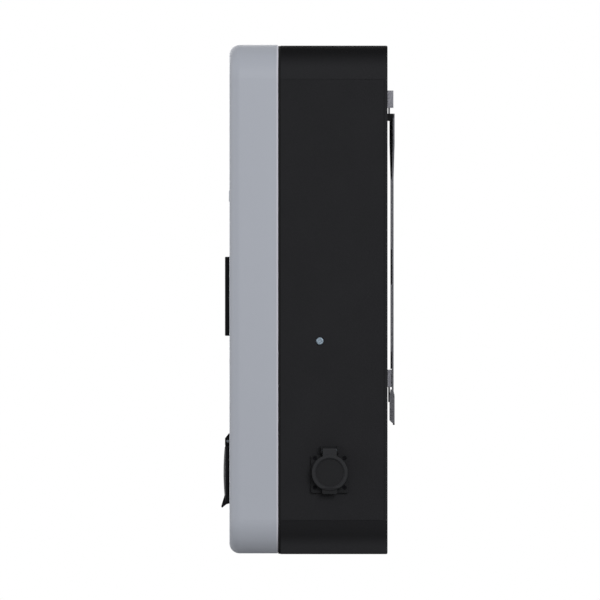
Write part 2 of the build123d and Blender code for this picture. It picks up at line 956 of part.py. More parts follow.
def make_status_light_board():
    outline = centred(light_z, light_board_width, light_board_height)
    body = slab(outline, light_board_y + board_thickness, light_board_y)
    for number in range(led_count):
        x = (number - (led_count - 1) / 2) * led_pitch
        lamp = Pos(x, light_z) * Rectangle(led_size, led_size)
        body += slab(lamp, light_board_y, light_board_y - led_height)
    for x in (-light_post_x, light_post_x):
        hole_r = small_screw_d / 2 + screw_hole_gap
        rear_y = light_board_y + board_thickness
        body -= post(x, light_z, hole_r, rear_y + overrun, light_board_y - overrun)
    return body


def make_status_light_screws():
    seat_y = light_board_y + board_thickness
    return group(small_screw(x, seat_y, light_z) for x in (-light_post_x, light_post_x))


# Charging socket
def make_socket_face():
    """The front of the socket, held by a lip between the cover and the socket's flange."""
    body = slab(socket_front(0), socket_flange_y, front_y)
    lip_y = socket_flange_y - socket_gasket_thickness
    body += slab(Pos(0, socket_z) * Circle(socket_face_lip_r), socket_flange_y, lip_y)
    rim = dee(mouth_r + mouth_rim, mouth_flat + mouth_rim)
    body += slab(rim, front_y, front_y - mouth_rim_stand)
    for x_low, x_high in ((-ear_outer, -ear_inner), (ear_inner, ear_outer)):
        body += side_slab(ear_outline(), x_low, x_high)
    through = (socket_flange_y + overrun, front_y - mouth_rim_stand - overrun)
    body -= slab(dee(mouth_r, mouth_flat), *through)
    z_span = about(lid_pivot_z, 2 * knuckle_pocket_half_height)
    y_span = (front_y - overrun, front_y + knuckle_pocket_depth)
    body -= block((-ear_inner, ear_inner), y_span, z_span)
    return body - hinge_pin_shape(lid_pin_r + pivot_gap, ear_outer + overrun)


def make_socket_housing():
    flange_back_y = socket_flange_y + socket_flange_thickness
    body = slab(Pos(0, socket_z) * Circle(socket_flange_r), flange_back_y, socket_flange_y)
    tube = dee(mouth_r + socket_wall, mouth_flat + socket_wall)
    body += slab(tube, socket_back_y, flange_back_y)
    body -= slab(dee(mouth_r, mouth_flat), core_back_y, socket_flange_y - overrun)
    for x, z in socket_screw_places():
        hole_r = small_screw_d / 2 + screw_hole_gap
        body -= post(x, z, hole_r, flange_back_y + overrun, socket_flange_y - overrun)
    for x, z, sleeve_r, pin_r in contact_places():
        body -= post(x, z, sleeve_tail_r + slip_gap, socket_back_y + overrun, core_back_y - overrun)
    lock_hole = (0, lock_y, tube_flat_z + overrun)
    reach = socket_wall + 2 * overrun
    body -= turned(lock_hole, (0, 0, -1), (0, reach, lock_pin_r + pivot_gap))
    return body


def ear_outline():
    """Side view of the ears that carry the lid's pin, sunk into the socket's face."""
    root = front_y + overrun
    toe = front_y - ear_stand / 8
    tip = front_y - ear_stand
    return make_face(
        Polyline(
            (root, ear_top_z),
            (toe, ear_top_z),
            (tip, ear_chamfer_z),
            (tip, ear_bottom_z),
            (front_y - ear_foot_stand, ear_foot_z),
            (root, ear_foot_z),
            close=True,
        )
    )


def hinge_pin_shape(radius, half_length):
    """A rod along the lid's hinge line."""
    start = (-half_length, lid_pivot_y, lid_pivot_z)
    return turned(start, (1, 0, 0), (0, 2 * half_length, radius))


def make_socket_core():
    body = slab(dee(core_r, core_flat), core_back_y, core_front_y)
    for x, z, sleeve_r, pin_r in contact_places():
        body -= post(x, z, sleeve_r + slip_gap, sleeve_seat_y, core_front_y - overrun)
        body -= post(x, z, sleeve_tail_r + slip_gap, core_back_y + overrun, core_front_y)
    return body


def make_contact_sleeves():
    sleeves = []
    for x, z, sleeve_r, pin_r in contact_places():
        sleeve = post(x, z, sleeve_r, sleeve_seat_y, sleeve_front_y)
        sleeve += post(x, z, sleeve_tail_r, tail_end_y, sleeve_seat_y)
        sleeve -= post(x, z, pin_r, sleeve_bore_y, sleeve_front_y - overrun)
        sleeves.append(sleeve)
    return group(sleeves)


def make_socket_gasket():
    ring = Circle(socket_collar_r) - Circle(socket_face_lip_r + slip_gap)
    ring = Pos(0, socket_z) * ring - socket_front(fit_gap)
    return slab(ring, socket_flange_y, socket_flange_y - socket_gasket_thickness)


def make_socket_screws():
    seat_y = socket_flange_y + socket_flange_thickness
    return group(small_screw(x, seat_y, z) for x, z in socket_screw_places())


def make_socket_rear_cap():
    end_y = socket_back_y + rear_cap_length
    body = slab(Pos(0, socket_z) * Circle(rear_cap_r), end_y, socket_back_y)
    inside = Pos(0, socket_z) * Circle(rear_cap_r - rear_cap_wall)
    body -= slab(inside, end_y - rear_cap_wall, socket_back_y - overrun)
    body -= post(0, socket_z, loom_r + slip_gap, end_y + overrun, socket_back_y)
    return body


def make_socket_lid():
    back_y_lid = front_y - lid_back_stand
    shoulder = lid_flat_z - socket_z
    body = slab(dee(lid_r, shoulder), back_y_lid, front_y - lid_front_stand - overrun)
    dome_y = front_y - lid_front_stand + lid_dome_r
    body = body & (Pos(0, dome_y, socket_z) * Sphere(lid_dome_r))
    edge = body.faces().sort_by(Axis.Y)[0].edges()
    body = fillet(edge, lid_edge_r())
    neck_y = (lid_pivot_y - lid_knuckle_r, back_y_lid)
    neck_z = (lid_flat_z - overrun, lid_pivot_z)
    neck = block((-lid_knuckle_half_width, lid_knuckle_half_width), neck_y, neck_z)
    neck += hinge_pin_shape(lid_knuckle_r, lid_knuckle_half_width)
    body += neck
    body += lid_lip()
    plug = dee(mouth_r - lid_plug_gap, mouth_flat - lid_plug_gap)
    body += slab(plug, back_y_lid + lid_plug_depth, back_y_lid)
    well = dee(mouth_r - lid_plug_gap - socket_wall, mouth_flat - lid_plug_gap - socket_wall)
    body -= slab(well, back_y_lid + lid_plug_depth + overrun, back_y_lid)
    spring_y = about(lid_pivot_y, 2 * (lid_knuckle_r + overrun))
    spring_z = (lid_flat_z, lid_pivot_z + lid_knuckle_r + overrun)
    body -= block((-lid_spring_half_width, lid_spring_half_width), spring_y, spring_z)
    body -= hinge_pin_shape(lid_pin_r + pivot_gap, lid_knuckle_half_width + overrun)
    return body


def lid_edge_r():
    """The rounding of the lid's front edge, a third of its thinnest edge."""
    sag = lid_r * lid_r / (2 * lid_dome_r)
    return (lid_front_stand - lid_back_stand - sag) / 3


def lid_lip():
    """The flared lip under the lid, where a finger lifts it."""
    root = front_y - lid_back_stand
    face = front_y - lid_front_stand + (lid_front_stand - lid_back_stand) / 4
    outline = make_face(
        Polyline(
            (root, lip_root_z),
            (face, lip_root_z),
            (front_y - lip_tip_stand, lip_tip_z),
            (front_y - lip_end_stand, lip_end_z),
            (front_y - lip_under_stand, lip_under_z),
            (root, lip_under_z),
            close=True,
        )
    )
    lip = side_slab(outline, -lip_half_width, lip_half_width)
    middle_z = (lip_root_z + lip_end_z) / 2
    plan = RectangleRounded(
        2 * lip_half_width, lip_root_z - lip_end_z + 2 * lip_corner_r, lip_corner_r
    )
    plan = Pos(0, middle_z + lip_corner_r) * plan
    return lip & slab(plan, front_y, front_y - 2 * lip_tip_stand)


def make_lid_seal():
    seal_back = front_y - lid_back_stand
    outer_gap = lid_seal_gap
    ring = dee(mouth_r - outer_gap, mouth_flat - outer_gap)
    inner_gap = lid_plug_gap - slip_gap
    ring -= dee(mouth_r - inner_gap, mouth_flat - inner_gap)
    seal = slab(ring, seal_back + lid_seal_thickness + mouth_rim_stand, seal_back)
    flange = dee(mouth_r + lid_seal_flange, mouth_flat + lid_seal_flange)
    flange -= dee(mouth_r - inner_gap, mouth_flat - inner_gap)
    return seal + slab(flange, front_y - mouth_rim_stand, seal_back)


def make_lid_pin():
    return hinge_pin_shape(lid_pin_r, ear_outer)


def coil(start, direction, wire, coil_r, turns, pitch):
    """A wound spring about an axis, from a start on that axis."""
    frame = Plane(origin=start, z_dir=direction)
    path = Helix(pitch=pitch, height=pitch * turns, radius=coil_r)
    section = Plane(origin=path @ 0, z_dir=path % 0) * Circle(wire / 2)
    return frame * sweep(section, path=path)


def make_lid_spring():
    length = lid_spring_pitch * lid_spring_turns
    start = (-length / 2, lid_pivot_y, lid_pivot_z)
    wound = coil(
        start, (1, 0, 0), lid_spring_wire, lid_spring_coil_r, lid_spring_turns, lid_spring_pitch
    )
    return wound


# Lock
def make_lock_actuator():
    base_z = tube_flat_z
    y_span = about(lock_y, lock_depth)
    body = block(about(0, lock_width), y_span, (base_z, base_z + lock_height))
    body = fillet(body.edges().filter_by(Axis.Z), lock_motor_r / 4)
    top = (0, lock_y, base_z + lock_height)
    body += turned(top, (0, 0, 1), (0, lock_motor_length, lock_motor_r))
    bore = (0, lock_y, base_z - overrun)
    body -= turned(bore, (0, 0, 1), (0, lock_pin_length + overrun, lock_pin_r + pivot_gap))
    return body


def make_lock_pin():
    tip_z = socket_z + mouth_flat + lock_pin_park
    pin = turned((0, lock_y, tip_z), (0, 0, 1), (0, lock_pin_length, lock_pin_r))
    end = pin.faces().sort_by(Axis.Z)[0].edges()
    return chamfer(end, lock_pin_r / 4)


# Data port
def port_flange_outline():
    outline = RectangleRounded(port_flange_width, port_flange_height, port_flange_corner_r)
    return Pos(port_y, port_z - port_flange_drop) * outline


def port_turned(*steps):
    """Steps turned about the data port's axis, measured from the side of the case."""
    return turned((side_x, port_y, port_z), (1, 0, 0), *steps)


def make_data_port_flange():
    face = port_flange_thickness
    body = side_slab(port_flange_outline(), side_x, port_face_x)
    body += port_turned((0, face + port_ring_height, port_ring_outer_r))
    body += port_turned((-port_collar_length, face, port_collar_r))
    z_span = (port_z, port_z + cap_ear_top_rise)
    body += block((side_x, port_face_x), about(port_y, 2 * cap_ear_outer), z_span)
    for side in (-1, 1):
        limits = sorted((port_y + side * cap_ear_inner, port_y + side * cap_ear_outer))
        ear = block(
            (side_x, side_x + cap_ear_stand),
            tuple(limits),
            (port_z + cap_ear_bottom_rise, port_z + cap_ear_top_rise),
        )
        outer = ear.edges().filter_by(Axis.Y).sort_by(Axis.X)[-2:]
        body += chamfer(outer, cap_knuckle_r / 2)
    bore_end = face + port_ring_height + overrun
    body -= port_turned((-port_collar_length - overrun, bore_end, port_ring_inner_r))
    body -= cap_pin_shape(cap_pin_r + pivot_gap, cap_ear_outer + overrun)
    body -= cap_pin_shape(cap_knuckle_r + fit_gap, cap_ear_inner)
    for y, z in port_screw_places():
        start = (port_face_x, y, z)
        well = (-overrun, port_screw_well_depth, port_screw_well_r)
        body -= turned(start, (-1, 0, 0), well)
        hole = (0, face + overrun, port_screw_d / 2 + screw_hole_gap)
        body -= turned(start, (-1, 0, 0), hole)
    return body


def cap_pin_shape(radius, half_length):
    """A rod along the data cap's hinge line."""
    start = (cap_pivot_x, port_y - half_length, cap_pivot_z)
    return turned(start, (0, 1, 0), (0, 2 * half_length, radius))


def make_data_port_jack():
    front = side_x - housing_wall
    y_span = about(port_y, jack_width)
    body = block((front - jack_length, front), y_span, about(port_z, jack_height))
    body += port_turned((-port_collar_length - jack_flange, -port_collar_length, port_collar_r))
    mouth = (front - jack_mouth_depth, front + overrun)
    body -= block(mouth, about(port_y, jack_mouth_width), about(port_z, jack_mouth_height))
    key_top = port_z - jack_mouth_height / 2
    key = (key_top - jack_key_height, key_top)
    body -= block(mouth, about(port_y, jack_key_width), key)
    return body


def make_data_port_cap():
    start = (cap_back_x, port_y, port_z)
    disc = turned(start, (1, 0, 0), (0, cap_thickness, cap_r))
    disc = fillet(disc.faces().sort_by(Axis.X)[-1].edges(), cap_edge_r)
    arm_z = (port_z + cap_r / 2, cap_pivot_z + cap_knuckle_r)
    arm_x = (cap_pivot_x, cap_front_x - cap_edge_r)
    arm = block(arm_x, about(port_y, cap_arm_width), arm_z)
    brow = arm.edges().filter_by(Axis.Y).group_by(Axis.X)[-1].sort_by(Axis.Z)[-1]
    body = disc + fillet(brow, cap_arm_edge_r)
    root_x = (cap_pivot_x - cap_knuckle_r, cap_pivot_x)
    body += block(root_x, about(port_y, cap_arm_width), (port_z + cap_r / 2, cap_pivot_z))
    body += cap_pin_shape(cap_knuckle_r, cap_arm_width / 2)
    tab_z = (port_z - cap_r - cap_tab_reach, port_z - cap_cup_r)
    tab_x = (cap_front_x - cap_edge_r - cap_tab_thickness, cap_front_x - cap_edge_r)
    tab = block(tab_x, about(port_y, cap_tab_width), tab_z)
    tab = fillet(tab.edges().filter_by(Axis.X).sort_by(Axis.Z)[:2], cap_tab_reach / 2)
    body += tab
    body -= turned(start, (1, 0, 0), (-overrun, cap_cup_depth, cap_cup_r))
    middle = Plane(origin=start, z_dir=(1, 0, 0)).offset(cap_thickness - cap_recess_depth / 2)
    body -= middle * Cone(cap_recess_r, cap_recess_mouth_r, cap_recess_depth)
    body -= cap_pin_shape(cap_pin_r + pivot_gap, cap_arm_width)
    slot_x = (cap_pivot_x - cap_knuckle_r - overrun, cap_pivot_x + cap_spring_room)
    slot_z = (cap_pivot_z - cap_knuckle_r - fit_gap, cap_pivot_z + cap_knuckle_r + overrun)
    body -= block(slot_x, about(port_y, 2 * cap_spring_half_width), slot_z)
    return body


def make_data_cap_seal():
    start = (cap_back_x + cap_cup_depth - cap_seal_thickness, port_y, port_z)
    ring = turned(start, (1, 0, 0), (0, cap_seal_thickness, cap_seal_outer_r))
    return ring - turned(start, (1, 0, 0), (0, cap_seal_thickness, cap_seal_inner_r))


def make_data_cap_pin():
    return cap_pin_shape(cap_pin_r, cap_ear_outer)


def make_data_cap_spring():
    length = cap_spring_pitch * cap_spring_turns
    start = (cap_pivot_x, port_y - length / 2, cap_pivot_z)
    return coil(
        start, (0, 1, 0), cap_spring_wire, cap_spring_coil_r, cap_spring_turns, cap_spring_pitch
    )


def make_data_port_screws():
    seat_x = port_face_x - port_screw_well_depth
    return group(
        screw(
            (seat_x, y, z),
            (-1, 0, 0),
            port_screw_d,
            port_screw_length,
            port_screw_head_d,
            port_screw_head_height,
            port_screw_key,
        )
        for y, z in port_screw_places()
    )


def make_side_screw():
    seat = (side_x, side_screw_y, side_screw_z)
    shape = screw(
        seat,
        (-1, 0, 0),
        side_screw_d,
        side_screw_length,
        side_screw_head_d,
        side_screw_head_height,
        side_screw_key,
    )
    rim = shape.edges().filter_by(GeomType.CIRCLE).sort_by(Axis.X)[-1]
    return fillet(rim, side_screw_head_height / 2)


# Supply cable membrane
def make_cable_grommet():
    under = (grommet_x, grommet_y, underside_z)
    top = housing_wall + grommet_inner_lip
    body = turned(
        under,
        (0, 0, 1),
        (0, grommet_seat_depth, grommet_seat_r),
        (0, top, grommet_hole_r),
        (housing_wall, top, grommet_seat_r),
    )
    cup = (grommet_membrane, top + overrun, grommet_hole_r - grommet_membrane)
    body -= turned(under, (0, 0, 1), cup)
    ring = (grommet_membrane, grommet_membrane + grommet_ring_height, grommet_ring_r)
    body += turned(under, (0, 0, 1), ring)
    return body - turned(
        under, (0, 0, 1), (grommet_membrane, top, grommet_ring_r - grommet_membrane)
    )


# Circuit board
def on_board(x, z, width, height, depth, corner=0):
    """A part that stands on the front of the circuit board."""
    shape = RectangleRounded(width, height, corner) if corner else Rectangle(width, height)
    return slab(Pos(x, z) * shape, board_front_y, board_front_y - depth)


def make_main_board():
    outline = centred(board_z, board_width, board_height)
    body = slab(outline, board_back_y, board_front_y)
    body += on_board(processor_x, processor_z, processor_size, processor_size, processor_height)
    body += on_board(meter_x, meter_z, meter_size, meter_size, processor_height)
    for x, z in board_screw_places():
        hole_r = board_screw_d / 2 + screw_hole_gap
        body -= post(x, z, hole_r, board_back_y + overrun, board_front_y - overrun)
    return body


def make_board_screws():
    return group(
        screw(
            (x, board_front_y, z),
            (0, 1, 0),
            board_screw_d,
            board_screw_length,
            board_screw_head_d,
            board_screw_head_height,
            board_screw_key,
        )
        for x, z in board_screw_places()
    )


def make_power_relays():
    places = [relay_x + (n - (relay_count - 1) / 2) * relay_pitch for n in range(relay_count)]
    return group(
        on_board(x, relay_z, relay_width, relay_height, relay_depth, relay_corner_r)
        for x in places
    )


def make_leak_sensor():
    foot = on_board(
        sensor_x, sensor_z, 2 * sensor_outer_r, sensor_length, sensor_foot + sensor_outer_r / 2
    )
    middle_y = board_front_y - sensor_foot - sensor_outer_r
    start = (sensor_x, middle_y, sensor_z - sensor_length / 2)
    body = foot + turned(start, (0, 0, 1), (0, sensor_length, sensor_outer_r))
    return body - turned(start, (0, 0, 1), (-overrun, sensor_length + overrun, sensor_inner_r))


def make_power_supply():
    return on_board(
        supply_x, supply_z, supply_width, supply_height, supply_depth, supply_corner_r
    )


def make_filter_choke():
    return on_board(choke_x, choke_z, choke_width, choke_height, choke_depth, supply_corner_r)


def make_capacitors():
    cans = []
    for number in range(capacitor_count):
        x = capacitor_x + (number - (capacitor_count - 1) / 2) * capacitor_pitch
        can = post(x, capacitor_z, capacitor_r, board_front_y, board_front_y - capacitor_length)
        cans.append(fillet(can.faces().sort_by(Axis.Y)[0].edges(), capacitor_edge_r))
    return group(cans)


def terminal_places():
    """The X of each pole of the supply terminal."""
    middle = (terminal_poles - 1) / 2
    return [terminal_x + (n - middle) * terminal_pitch for n in range(terminal_poles)]


def make_terminal_block():
    width = terminal_poles * terminal_pitch
    body = on_board(terminal_x, terminal_z, width, terminal_height, terminal_depth)
    front = board_front_y - terminal_depth
    low_z = terminal_z - terminal_height / 2
    for x in terminal_places():
        body -= post(x, terminal_z, terminal_well_r, front + terminal_well_depth, front - overrun)
        entry = (x, board_front_y - terminal_depth / 3, low_z)
        body -= turned(entry, (0, 0, 1), (-overrun, terminal_entry_depth, terminal_entry_r))
    return body


def make_terminal_screws():
    floor = board_front_y - terminal_depth + terminal_well_depth
    screws = []
    for x in terminal_places():
        head = post(x, terminal_z, terminal_screw_r, floor, floor - terminal_screw_height)
        face = floor - terminal_screw_height
        slot = block(
            about(x, 2 * terminal_screw_r + overrun),
            (face, face + terminal_slot_depth),
            about(terminal_z, terminal_slot_width),
        )
        screws.append(head - slot)
    return group(screws)


def make_socket_link():
    return on_board(link_x, link_z, link_width, link_height, link_depth, relay_corner_r)


def make_wiring_loom():
    """The insulated bundle from the socket's contacts back and up to the circuit board."""
    start_y = socket_back_y + rear_cap_length - rear_cap_wall
    turn_y = board_front_y - link_depth / 2
    end_z = link_z - link_height / 2
    points = [(link_x, start_y, socket_z), (link_x, turn_y, socket_z), (link_x, turn_y, end_z)]
    path = FilletPolyline(*points, radius=loom_bend_share * (turn_y - start_y))
    section = Plane(origin=path @ 0, z_dir=path % 0) * Circle(loom_r)
    return sweep(section, path=path)


def make_antenna():
    inner_y = cover_inner_y + antenna_thickness
    patch = Pos(antenna_x, antenna_z) * Rectangle(antenna_width, antenna_height)
    return slab(patch, inner_y, cover_inner_y)


nodes = {
    "rear_housing": make_rear_housing,
    "front_cover": make_front_cover,
    "cover_gasket": make_cover_gasket,
    "cover_screws": make_cover_screws,
    "wall_plate": make_wall_plate,
    "plate_buffers": make_plate_buffers,
    "upper_hanger": lambda: make_hanger(hook_top_upper, hanger_end_depth_upper),
    "lower_hanger": lambda: make_hanger(hook_top_lower, hanger_end_depth_lower),
    "hanger_screws": make_hanger_screws,
    "display_bezel": make_display_bezel,
    "display_glass": make_display_glass,
    "display_panel": make_display_panel,
    "display_board": make_display_board,
    "display_screws": make_display_screws,
    "status_light_lens": make_status_light_lens,
    "status_light_board": make_status_light_board,
    "status_light_screws": make_status_light_screws,
    "socket_face": make_socket_face,
    "socket_housing": make_socket_housing,
    "socket_core": make_socket_core,
    "contact_sleeves": make_contact_sleeves,
    "socket_gasket": make_socket_gasket,
    "socket_screws": make_socket_screws,
    "socket_rear_cap": make_socket_rear_cap,
    "socket_lid": make_socket_lid,
    "lid_seal": make_lid_seal,
    "lid_pin": make_lid_pin,
    "lid_spring": make_lid_spring,
    "lock_actuator": make_lock_actuator,
    "lock_pin": make_lock_pin,
    "data_port_flange": make_data_port_flange,
    "data_port_jack": make_data_port_jack,
    "data_port_cap": make_data_port_cap,
    "data_cap_seal": make_data_cap_seal,
    "data_cap_pin": make_data_cap_pin,
    "data_cap_spring": make_data_cap_spring,
    "data_port_screws": make_data_port_screws,
    "side_screw": make_side_screw,
    "cable_grommet": make_cable_grommet,
    "main_board": make_main_board,
    "board_screws": make_board_screws,
    "power_relays": make_power_relays,
    "leak_sensor": make_leak_sensor,
    "power_supply": make_power_supply,
    "filter_choke": make_filter_choke,
    "capacitors": make_capacitors,
    "terminal_block": make_terminal_block,
    "terminal_screws": make_terminal_screws,
    "socket_link": make_socket_link,
    "wiring_loom": make_wiring_loom,
    "antenna": make_antenna,
}

os.makedirs("parts", exist_ok=True)
for name, make in nodes.items():
    export_step(make(), f"parts/{name}.step")
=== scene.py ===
"""Looks of a wall-hung charging box: a grey cover on a black housing, with a lidded socket.

Lengths are in metres. X runs across the box, -Y is its front, +Y the wall and Z is up.
"""

import json

import bpy
import numpy as np
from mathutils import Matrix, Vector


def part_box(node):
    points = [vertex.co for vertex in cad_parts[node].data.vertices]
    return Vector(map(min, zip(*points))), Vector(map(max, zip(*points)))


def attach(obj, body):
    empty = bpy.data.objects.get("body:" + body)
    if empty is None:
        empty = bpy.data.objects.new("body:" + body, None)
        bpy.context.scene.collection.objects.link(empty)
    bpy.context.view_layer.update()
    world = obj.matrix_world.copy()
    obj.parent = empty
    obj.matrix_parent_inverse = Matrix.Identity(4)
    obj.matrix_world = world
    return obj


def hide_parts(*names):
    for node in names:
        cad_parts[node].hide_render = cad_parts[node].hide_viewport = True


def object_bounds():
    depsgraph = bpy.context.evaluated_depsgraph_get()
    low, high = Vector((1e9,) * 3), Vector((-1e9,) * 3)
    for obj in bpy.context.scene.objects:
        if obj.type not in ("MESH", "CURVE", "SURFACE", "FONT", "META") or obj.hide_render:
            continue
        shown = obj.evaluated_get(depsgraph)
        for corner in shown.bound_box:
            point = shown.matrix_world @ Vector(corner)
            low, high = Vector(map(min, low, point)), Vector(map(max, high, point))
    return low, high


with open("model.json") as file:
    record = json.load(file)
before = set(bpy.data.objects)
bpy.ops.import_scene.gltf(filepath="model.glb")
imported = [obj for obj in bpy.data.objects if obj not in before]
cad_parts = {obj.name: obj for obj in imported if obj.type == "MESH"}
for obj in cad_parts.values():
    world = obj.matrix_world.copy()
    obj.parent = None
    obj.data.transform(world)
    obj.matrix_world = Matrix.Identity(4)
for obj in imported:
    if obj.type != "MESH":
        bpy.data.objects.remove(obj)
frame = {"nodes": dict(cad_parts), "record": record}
cad_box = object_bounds()

MM = 0.001
TURN = 2 * np.pi

# The photograph's view: level, from the box's right, with parallel rays
VIEW_CENTRE = (-84.1 * MM, -27.3 * MM)
VIEW_HEIGHT = 533.3 * MM
VIEW_DISTANCE = 3.0

# Light levels, where 1 shows a colour as it is written; a lamp has a place, a width and a level
WORLD_LEVEL = 0.37
LAMPS = {
    "lamp_right": ((2.6, 0.85, 0.8), 1.6, 0.52),
    "lamp_front": ((0.3, -3.0, 0.45), 3.2, 0.42),
    "lamp_left": ((-3.0, -0.4, 0.45), 3.2, 0.42),
    "lamp_back": ((-0.6, 3.0, 0.45), 3.2, 0.34),
}

# The floor, and where it turns white for the camera
FLOOR_REACH = 6.0
FLOOR_FADE = (0.35, 1.3)

# The cover's rear edge, which gets a painted highlight, and the smooth bands round the housing's
# top and bottom, which get painted shade above and painted light below
RIM_Y = -104.7 * MM
RIM_HIGHLIGHT_COLOUR = (0.58, 0.58, 0.64)
HOUSING_MIDDLE = -27.2 * MM
BAND_START = 196.0 * MM

# The port's cap stands out in front of CAP_FRONT_X, with its tab below CAP_TAB_Z
CAP_FRONT_X = 156.2 * MM
CAP_TAB_Z = -194.3 * MM

# What the display's glass shows: a field, by its width, its height and its middle
FIELD_SIZE = (95.4 * MM, 54.2 * MM)
FIELD_MIDDLE = -24.0 * MM

# Torsion springs: coil and wire radius, turns, the distance between turns, and both legs
LID_SPRING = (1.5 * MM, 0.35 * MM, 5)
CAP_SPRING = (1.35 * MM, 0.3 * MM, 4)
SPRING_PITCH = 0.95 * MM
SPRING_LEG = 0.2 * MM

# The loom: its radius and bend, and its seven strands with their radius, place and twist
LOOM_RADIUS = 5.5 * MM
LOOM_BEND = 19.0 * MM
STRAND_COUNT = 7
STRAND_RADIUS = 1.72 * MM
STRAND_OFFSET = 3.5 * MM
STRAND_TWIST = 0.35

# The data jack's contact wires
CONTACT_COUNT = 8
CONTACT_PITCH = 1.02 * MM
CONTACT_RADIUS = 0.22 * MM
CONTACT_INSET = 3.0 * MM
CONTACT_LENGTH = 8.5 * MM
CONTACT_RISE = 3.55 * MM
CONTACT_FALL = 2.6 * MM

# Nodes that stand on the main board, or close in front of it, and the board's thickness
BOARD_NODES = (
    "power_relays",
    "leak_sensor",
    "power_supply",
    "filter_choke",
    "capacitors",
    "terminal_block",
    "socket_link",
)
BOARD_THICKNESS = 1.6 * MM
# The main board's own large chips, each by two corners
LARGE_CHIPS = [
    ((0.050, 0.0, 0.040), (0.074, 0.0, 0.064)),
    ((0.072, 0.0, -0.016), (0.088, 0.0, 0.000)),
]

# Small chips: the board's margins before the first and after the last of them, their spacing,
# the share of places taken, clearance, sizes and the cut of their edges
CHIP_SEED = 7
CHIP_MARGINS_X = (8 * MM, 6 * MM)
CHIP_MARGINS_Z = (12 * MM, 10 * MM)
CHIP_SPACING = (6.5 * MM, 5.5 * MM)
CHIP_SHARE = 0.30
CHIP_CLEARANCE = 4 * MM
CHIP_HALF_WIDTHS = [1.0, 1.6, 2.2]
CHIP_HALF_HEIGHTS = [0.8, 1.2, 2.0]
CHIP_THICKNESS = (0.5, 1.1)
CHIP_CUT = 0.12 * MM


class Wire:
    """A shader value that Python's operators work on."""

    def __init__(self, finish, socket):
        self.finish, self.socket = finish, socket

    def _maths(self, operation, *values):
        return self.finish.add("ShaderNodeMath", {"operation": operation}, *values)

    def __add__(self, other):
        return self._maths("ADD", self, other)

    def __radd__(self, other):
        return self._maths("ADD", other, self)

    def __sub__(self, other):
        return self._maths("SUBTRACT", self, other)

    def __rsub__(self, other):
        return self._maths("SUBTRACT", other, self)

    def __mul__(self, other):
        return self._maths("MULTIPLY", self, other)

    def __rmul__(self, other):
        return self._maths("MULTIPLY", other, self)

    def __neg__(self):
        return self._maths("MULTIPLY", self, -1.0)

    def __abs__(self):
        return self._maths("ABSOLUTE", self)

    def below(self, limit):
        """1 where the value is less than the limit, else 0."""
        return self._maths("LESS_THAN", self, limit)

    def smooth(self, low, high):
        """0 below low and 1 above high, with a soft step between them."""
        settings = {"interpolation_type": "SMOOTHSTEP"}
        return self.finish.add("ShaderNodeMapRange", settings, self, low, high)


class Finish:
    """A material, with its Principled shader and the nodes that feed it."""

    def __init__(self, name, **sockets):
        self.material = bpy.data.materials.new(name)
        self.material.use_nodes = True
        self.tree = self.material.node_tree
        self.shader = self.tree.nodes["Principled BSDF"]
        self.set(**sockets)

    def add(self, kind, settings=None, *values, output=0, **named):
        """Adds any node: its settings first, then its inputs by place or by name."""
        node = self.tree.nodes.new(kind)
        for key, value in (settings or {}).items():
            setattr(node, key, value)
        for place, value in enumerate(values):
            self._feed(node.inputs[place], value)
        for key, value in named.items():
            self._feed(node.inputs[key.replace("_", " ")], value)
        return Wire(self, node.outputs[output])

    def set(self, **sockets):
        """Feeds the Principled shader's sockets, with _ for a space in their names."""
        for key, value in sockets.items():
            self._feed(self.shader.inputs[key.replace("_", " ")], value)
        return self

    def _feed(self, socket, value):
        if isinstance(value, Wire):
            self.tree.links.new(value.socket, socket)
        elif socket.type == "RGBA":
            socket.default_value = (*value, 1.0)
        else:
            socket.default_value = value

    def place(self):
        """The point on the object, in metres."""
        return self.add("ShaderNodeTexCoord", output=3)

    def along(self, axis):
        """The point's place along X, Y or Z, given as 0, 1 or 2."""
        return self.add("ShaderNodeSeparateXYZ", None, self.place(), output=axis)

    def stretched(self, x, y, z):
        """The point on the object with each axis scaled, for a grain that runs one way."""
        scale = {"operation": "MULTIPLY"}
        return self.add("ShaderNodeVectorMath", scale, self.place(), (x, y, z))

    def noise(self, grain, detail, at=None):
        """Noise from 0 to 1 whose patches are about one grain across."""
        return self.add(
            "ShaderNodeTexNoise",
            Vector=at or self.place(),
            Scale=1 / grain,
            Detail=detail,
            Roughness=0.5,
        )

    def cells(self, grain, feature="F1"):
        """Distance to the nearest of scattered points that are about one grain apart."""
        return self.add(
            "ShaderNodeTexVoronoi", {"feature": feature}, Vector=self.place(), Scale=1 / grain
        )

    def blend(self, share, first, second):
        """A colour between two others."""
        node = self.tree.nodes.new("ShaderNodeMix")
        node.data_type = "RGBA"
        self._feed(node.inputs[0], share)
        self._feed(node.inputs[6], first)
        self._feed(node.inputs[7], second)
        return Wire(self, node.outputs[2])

    def raised(self, height, distance, on=None):
        """A normal bent by a height, in metres at height 1."""
        named = {"Normal": on} if on else {}
        return self.add(
            "ShaderNodeBump", None, Strength=1.0, Distance=distance, Height=height, **named
        )

    def soft_edges(self, radius):
        """A normal that rounds sharp edges over a small radius."""
        return self.add("ShaderNodeBevel", {"samples": 4}, Radius=radius)


def tone(colour, factor):
    """A colour made lighter or darker by a factor."""
    return tuple(channel * factor for channel in colour)


